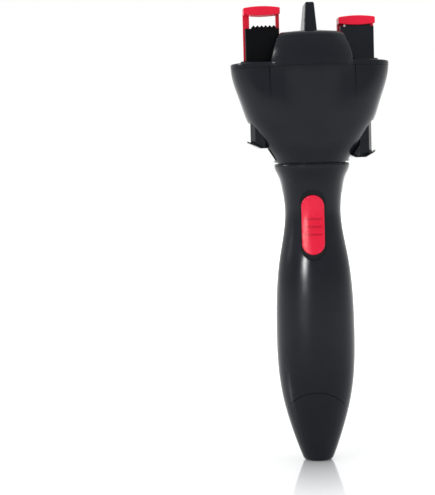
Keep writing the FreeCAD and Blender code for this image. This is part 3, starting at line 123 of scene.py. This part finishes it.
# Camera: eye, view in pixels, and its pitch, yaw and roll.
EYE_HEIGHT = 0.154
EYE_DISTANCE = 0.707
PIXELS_PER_TANGENT = 1377.0
LONG_SIDE = 495.0
SENSOR = 36.0
NEAR_LIMIT = 0.01
CAMERA_TURNS = (-3.48, 4.0, -1.58)


def put_in_scene(name, data):
    """New object at the origin, in the scene."""
    piece = bpy.data.objects.new(name, data)
    bpy.context.scene.collection.objects.link(piece)
    return piece


# ------------------------------------------------------------------ material nodes
def blank_finish(name):
    """Material with an empty tree, its principled shader and Object coordinates."""
    finish = bpy.data.materials.new(name)
    finish.use_nodes = True
    tree = finish.node_tree
    tree.nodes.clear()
    output = tree.nodes.new("ShaderNodeOutputMaterial")
    shader = tree.nodes.new("ShaderNodeBsdfPrincipled")
    tree.links.new(shader.outputs["BSDF"], output.inputs["Surface"])
    place = tree.nodes.new("ShaderNodeTexCoord")
    return finish, tree, shader, place.outputs["Object"]


def noise(tree, place, scale, detail=3.0, roughness=0.5, distortion=0.0):
    """Noise over the piece, scale in waves per metre."""
    node = tree.nodes.new("ShaderNodeTexNoise")
    tree.links.new(place, node.inputs["Vector"])
    node.inputs["Scale"].default_value = scale
    node.inputs["Detail"].default_value = detail
    node.inputs["Roughness"].default_value = roughness
    node.inputs["Distortion"].default_value = distortion
    return node.outputs["Fac"]


def ramp(tree, factor, stops):
    """Colour ramp over a factor; stops are two of (position, colour)."""
    node = tree.nodes.new("ShaderNodeValToRGB")
    tree.links.new(factor, node.inputs["Fac"])
    for element, (position, colour) in zip(node.color_ramp.elements, stops):
        element.position = position
        element.color = (*colour, 1.0)
    return node.outputs["Color"]


def fade(tree, value, start, end, low=0.0, high=1.0):
    """Value between start and end spread over low to high, and held outside them."""
    node = tree.nodes.new("ShaderNodeMapRange")
    tree.links.new(value, node.inputs["Value"])
    limits = (("From Min", start), ("From Max", end), ("To Min", low), ("To Max", high))
    for name, number in limits:
        node.inputs[name].default_value = number
    return node.outputs["Result"]


def arithmetic(tree, operation, first, second=None):
    """One math node; each input is a socket or a number."""
    node = tree.nodes.new("ShaderNodeMath")
    node.operation = operation
    for socket, value in zip(node.inputs, (first, second)):
        if isinstance(value, (int, float)):
            socket.default_value = value
        elif value is not None:
            tree.links.new(value, socket)
    return node.outputs["Value"]


def bump(tree, shader, height, strength, distance, under=None):
    """Bump on the shader, over an earlier bump if one is given."""
    node = tree.nodes.new("ShaderNodeBump")
    tree.links.new(height, node.inputs["Height"])
    node.inputs["Strength"].default_value = strength
    node.inputs["Distance"].default_value = distance
    if under is not None:
        tree.links.new(under, node.inputs["Normal"])
    tree.links.new(node.outputs["Normal"], shader.inputs["Normal"])
    return node.outputs["Normal"]


def two_tones(tree, shader, pattern, dark, light):
    """Base colour that goes from dark to light with the pattern."""
    stops = [(NOISE_LOW, dark), (NOISE_HIGH, light)]
    tree.links.new(ramp(tree, pattern, stops), shader.inputs["Base Color"])


def two_glosses(tree, shader, pattern, low, high):
    """Roughness that goes from low to high with the pattern."""
    tree.links.new(fade(tree, pattern, NOISE_LOW, NOISE_HIGH, low, high),
                   shader.inputs["Roughness"])


def turned_axes(tree, degrees):
    """X, Y and Z of the piece's own place, after a turn about Z."""
    place = next(node for node in tree.nodes if node.type == "TEX_COORD").outputs["Object"]
    mapping = tree.nodes.new("ShaderNodeMapping")
    mapping.inputs["Rotation"].default_value = (0.0, 0.0, math.radians(degrees))
    tree.links.new(place, mapping.inputs["Vector"])
    parted = tree.nodes.new("ShaderNodeSeparateXYZ")
    tree.links.new(mapping.outputs["Vector"], parted.inputs["Vector"])
    return parted.outputs


def distance_from(tree, value, centre):
    """How far a value is from a centre, to either side."""
    return arithmetic(tree, "ABSOLUTE", arithmetic(tree, "SUBTRACT", value, centre))


# ------------------------------------------------------------------ finishes
def moulded_plastic(name, dark, light, roughness=(0.16, 0.26), grain=0.02, specular=0.5):
    """Moulded plastic: faint flow marks in its colour, handling marks in its gloss."""
    finish, tree, shader, place = blank_finish(name)
    two_tones(tree, shader, noise(tree, place, *FLOW_MARKS), dark, light)
    two_glosses(tree, shader, noise(tree, place, *HANDLING_MARKS), *roughness)
    shader.inputs["Specular IOR Level"].default_value = specular
    waves = bump(tree, shader, noise(tree, place, *MOULD_WAVES), *WAVE_BUMP)
    bump(tree, shader, noise(tree, place, *MOULD_GRAIN), grain, GRAIN_HEIGHT, waves)
    return finish


def turned_metal(name, dark, light, roughness=(0.22, 0.36)):
    """Metal with fine marks that run round the piece."""
    finish, tree, shader, place = blank_finish(name)
    mapping = tree.nodes.new("ShaderNodeMapping")
    mapping.inputs["Scale"].default_value = (1.0, 1.0, LINE_STRETCH)
    tree.links.new(place, mapping.inputs["Vector"])
    lines = noise(tree, mapping.outputs["Vector"], *TURNING_LINES)
    two_tones(tree, shader, lines, dark, light)
    two_glosses(tree, shader, lines, *roughness)
    shader.inputs["Metallic"].default_value = 1.0
    bump(tree, shader, lines, *LINE_BUMP)
    return finish


def black_gloss(name):
    """Glossy black of the shells, the head and the fin."""
    return moulded_plastic(name, (0.0035, 0.0055, 0.0090), (0.0060, 0.0080, 0.0125),
                           (0.17, 0.25), 0.02, 0.16)


def red_gloss(name, dark, light):
    """Glossy red of the hooks and the switch button."""
    return moulded_plastic(name, dark, light, (0.2, 0.3), 0.02, 0.2)


def paint_shade(finish, line, depth):
    """Finish with painted shade: its colour and shine go down to the given share where the line
    factor is 1.
    """
    tree = finish.node_tree
    shader = next(node for node in tree.nodes if node.type == "BSDF_PRINCIPLED")
    colour = shader.inputs["Base Color"].links[0].from_socket
    shade = tree.nodes.new("ShaderNodeMix")
    shade.data_type = "RGBA"
    shade.blend_type = "MULTIPLY"
    # The node's colour sockets come after those for values and vectors.
    factor, first, second = (shade.inputs[place] for place in (0, 6, 7))
    tree.links.new(line, factor)
    tree.links.new(colour, first)
    second.default_value = (depth, depth, depth, 1.0)
    tree.links.new(shade.outputs[2], shader.inputs["Base Color"])
    tree.links.new(fade(tree, line, 0.0, 1.0, 1.0, depth), shader.inputs["Specular Tint"])


def crease_shaded_shell(name):
    """Cup finish with painted shade along the two faint creases below the dome's corners."""
    finish = black_gloss(name)
    tree = finish.node_tree
    axes = turned_axes(tree, -HEAD_TURN)
    off = distance_from(tree, arithmetic(tree, "ABSOLUTE", axes["X"]), CREASE_ACROSS)
    line = fade(tree, off, CREASE_CORE, CREASE_EDGE, 1.0, 0.0)
    upward = fade(tree, axes["Z"], CREASE_FOOT, CREASE_TOP)
    line = arithmetic(tree, "MULTIPLY", line, upward)
    forward = fade(tree, axes["Y"], 0.0, CREASE_FRONT, 1.0, 0.0)
    line = arithmetic(tree, "MULTIPLY", line, forward)
    # Painted shade: colour and shine drop along the creases.
    paint_shade(finish, line, CREASE_SHADE_DEPTH)
    return finish


def ridged_button(name, middle):
    """Button finish with painted shade under each of its three ridges."""
    finish = red_gloss(name, (0.80, 0.008, 0.043), (0.88, 0.013, 0.053))
    tree = finish.node_tree
    axes = turned_axes(tree, 0.0)
    shade = None
    for step in (-1, 0, 1):
        off = distance_from(tree, axes["Z"], middle + step * RIDGE_PITCH - VALLEY_DROP)
        band = fade(tree, off, VALLEY_CORE, VALLEY_EDGE, 1.0, 0.0)
        shade = band if shade is None else arithmetic(tree, "MAXIMUM", shade, band)
    across = arithmetic(tree, "ABSOLUTE", axes["X"])
    along = fade(tree, across, RIDGE_END, RIDGE_PAST_END, 1.0, 0.0)
    paint_shade(finish, arithmetic(tree, "MULTIPLY", shade, along), VALLEY_SHADE_DEPTH)
    return finish


BLACK_GLOSS = black_gloss("black_gloss")
# Darker, duller copy of the black plastic, put on the left clip body only: painted shade.
SHADED_CLIP_BLACK = moulded_plastic("shaded_clip_black", (0.003, 0.0032, 0.004), (0.006, 0.0062, 0.007),
                             (0.28, 0.42), 0.05, 0.04)
RED_GLOSS = red_gloss("red_gloss", (0.82, 0.007, 0.037), (0.90, 0.011, 0.047))
INNER_GREY = moulded_plastic("inner_grey", (0.045, 0.047, 0.05), (0.07, 0.072, 0.076),
                             (0.45, 0.6), 0.2)
ACETAL = moulded_plastic("white_acetal", (0.66, 0.65, 0.61), (0.74, 0.73, 0.69),
                         (0.38, 0.5), 0.1)
STEEL = turned_metal("plain_steel", (0.42, 0.43, 0.45), (0.62, 0.63, 0.65))
SPRING = turned_metal("spring_wire", (0.35, 0.36, 0.38), (0.5, 0.51, 0.53))
BRONZE = turned_metal("bearing_bronze", (0.42, 0.27, 0.12), (0.6, 0.42, 0.2), (0.35, 0.5))
BRASS = turned_metal("contact_brass", (0.6, 0.45, 0.18), (0.75, 0.6, 0.28))
JACKET = moulded_plastic("cell_jacket", (0.02, 0.09, 0.05), (0.03, 0.13, 0.07),
                         (0.25, 0.35))
SLOT_FINISH = {"dark_shell": BLACK_GLOSS, "red_hook": RED_GLOSS, "white_gear": ACETAL,
               "inner_plastic": INNER_GREY, "bearing_bronze": BRONZE, "steel": STEEL,
               "spring_steel": SPRING, "motor_steel": STEEL, "contact_brass": BRASS,
               "cell_jacket": JACKET}


def finish_nodes():
    """Give each CAD node its slot's finish, and three nodes one of their own."""
    for part in frame["record"]["subparts"]:
        mesh = nodes[part["node"]].data
        mesh.materials.clear()
        mesh.materials.append(SLOT_FINISH[part["material_slot"]])
    # Painted shade: the left clip body gets the darker, duller black copy.
    nodes["left_clip_body"].data.materials[0] = SHADED_CLIP_BLACK
    nodes["head_cup"].data.materials[0] = crease_shaded_shell("cup_gloss_crease_shade")
    button = nodes["switch_button"].data
    heights = [corner.co.z for corner in button.vertices]
    middle = (min(heights) + max(heights)) / 2
    button.materials[0] = ridged_button("button_gloss_ridge_shade", middle)


finish_nodes()


# ------------------------------------------------------------------ springs under the hooks
def hook_coil(name, node):
    """Coil of round wire in the CAD spring's place, and the middles of its two ends."""
    low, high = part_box(node)
    middle = ((low[0] + high[0]) / 2, (low[1] + high[1]) / 2)
    radius = (high[0] - low[0]) / 2 - COIL_WIRE
    steps = COIL_TURNS * COIL_STEPS
    rise = (high[2] - low[2] - 2 * COIL_WIRE) / steps
    start = Matrix.Translation((middle[0] + radius, middle[1], low[2] + COIL_WIRE))
    made = bmesh.new()
    bmesh.ops.create_circle(made, cap_ends=True, segments=COIL_SIDES, radius=COIL_WIRE,
                            matrix=start @ Matrix.Rotation(math.pi / 2, 4, "X"))
    bmesh.ops.spin(made, geom=made.verts[:] + made.edges[:] + made.faces[:],
                   cent=(*middle, 0), axis=(0, 0, 1), dvec=(0, 0, rise),
                   angle=2 * math.pi * COIL_TURNS, steps=steps, use_duplicate=False)
    bmesh.ops.remove_doubles(made, verts=made.verts[:], dist=1e-6)
    bmesh.ops.recalc_face_normals(made, faces=made.faces[:])
    mesh = bpy.data.meshes.new(name)
    made.to_mesh(mesh)
    made.free()
    mesh.materials.append(SPRING)
    coil = put_in_scene(name, mesh)
    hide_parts(node)
    return coil, (*middle, low[2]), (*middle, high[2])


def hook_springs():
    """Coils for both hook springs: the left one stays where it is made, and the right one goes
    with the right clip.
    """
    coil, foot, seat = hook_coil("left_hook_coil", "left_hook_spring")
    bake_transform(coil)
    coil, foot, seat = hook_coil("right_hook_coil", "right_hook_spring")
    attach(coil, "right_clip")
    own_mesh(coil)


hook_springs()


# ------------------------------------------------------------------ floor, world and lamps
def seen_directly(tree):
    """1 for camera, glossy and transmission rays."""
    path = tree.nodes.new("ShaderNodeLightPath")
    seen = path.outputs["Is Camera Ray"]
    for kind in ("Is Glossy Ray", "Is Transmission Ray"):
        seen = arithmetic(tree, "MAXIMUM", seen, path.outputs[kind])
    return seen


def floor_finish():
    """Pale board under a thin polish."""
    finish, tree, shader, place = blank_finish("floor_board")
    tones = [(0.2, (0.94, 0.94, 0.94)), (0.8, (0.96, 0.96, 0.96))]
    board = ramp(tree, noise(tree, place, *BOARD_TONE), tones)
    tree.links.new(board, shader.inputs["Base Color"])
    shader.inputs["Roughness"].default_value = BOARD_ROUGHNESS
    shader.inputs["Specular IOR Level"].default_value = BOARD_SPECULAR
    shader.inputs["Emission Color"].default_value = (*WHITE, 1.0)
    length = tree.nodes.new("ShaderNodeVectorMath")
    length.operation = "LENGTH"
    tree.links.new(place, length.inputs[0])
    distance = length.outputs["Value"]
    glow = arithmetic(tree, "MULTIPLY", seen_directly(tree),
                      fade(tree, distance, *GLOW_REACH, *GLOW_LEVEL))
    tree.links.new(glow, shader.inputs["Emission Strength"])
    polish = tree.nodes.new("ShaderNodeBsdfGlossy")
    polish.inputs["Color"].default_value = (*WHITE, 1.0)
    polish.inputs["Roughness"].default_value = POLISH_ROUGHNESS
    mixed = tree.nodes.new("ShaderNodeMixShader")
    share, under, over = mixed.inputs
    tree.links.new(fade(tree, distance, *POLISH_REACH, *POLISH_SHARE), share)
    tree.links.new(shader.outputs["BSDF"], under)
    tree.links.new(polish.outputs["BSDF"], over)
    output = next(node for node in tree.nodes if node.type == "OUTPUT_MATERIAL")
    tree.links.new(mixed.outputs["Shader"], output.inputs["Surface"])
    return finish


def lay_floor():
    """The floor that the braider stands on."""
    made = bmesh.new()
    bmesh.ops.create_grid(made, x_segments=1, y_segments=1, size=FLOOR_HALF)
    mesh = bpy.data.meshes.new("studio_floor")
    made.to_mesh(mesh)
    made.free()
    mesh.materials.append(floor_finish())
    put_in_scene("studio_floor", mesh)


def hang_sky():
    """World that lights softly, and that is white where it is seen or mirrored."""
    world = bpy.data.worlds.new("studio_world")
    bpy.context.scene.world = world
    world.use_nodes = True
    tree = world.node_tree
    tree.nodes.clear()
    output = tree.nodes.new("ShaderNodeOutputWorld")
    mixed = tree.nodes.new("ShaderNodeMixShader")
    share, *ends = mixed.inputs
    tree.links.new(seen_directly(tree), share)
    for end, colour, level in zip(ends, (SKY_COLOUR, WHITE), (SKY_LEVEL, 1.0)):
        light = tree.nodes.new("ShaderNodeBackground")
        light.inputs["Color"].default_value = (*colour, 1.0)
        light.inputs["Strength"].default_value = level
        tree.links.new(light.outputs["Background"], end)
    tree.links.new(mixed.outputs["Shader"], output.inputs["Surface"])


def place_lamps():
    """The five lamps, each aimed at a height on the braider's axis."""
    for name, place, size, power, spread, aim, lights, mirrored in LAMPS:
        data = bpy.data.lights.new(name, "AREA")
        data.shape = "RECTANGLE"
        data.size, data.size_y = size
        data.energy = power
        data.spread = math.radians(spread)
        lamp = put_in_scene(name, data)
        lamp.location = place
        lamp.visible_diffuse = lights
        lamp.visible_glossy = mirrored
        toward = Vector((0, 0, aim)) - Vector(place)
        lamp.rotation_euler = toward.to_track_quat("-Z", "Y").to_euler()


lay_floor()
hang_sky()
place_lamps()


# ------------------------------------------------------------------ camera
def place_camera():
    """Camera before the braider, a little above its middle."""
    data = bpy.data.cameras.new("camera")
    data.sensor_width = SENSOR
    data.lens = PIXELS_PER_TANGENT * SENSOR / LONG_SIDE
    data.clip_start = NEAR_LIMIT
    camera = put_in_scene("camera", data)
    pitch, yaw, roll = (math.radians(angle) for angle in CAMERA_TURNS)
    camera.location = (0.0, -EYE_DISTANCE, EYE_HEIGHT)
    camera.rotation_euler = (Matrix.Rotation(yaw, 4, "Z")
                             @ Matrix.Rotation(math.pi / 2 + pitch, 4, "X")
                             @ Matrix.Rotation(roll, 4, "Z")).to_euler()
    bpy.context.scene.camera = camera


place_camera()
bpy.context.scene.view_settings.view_transform = "Standard"
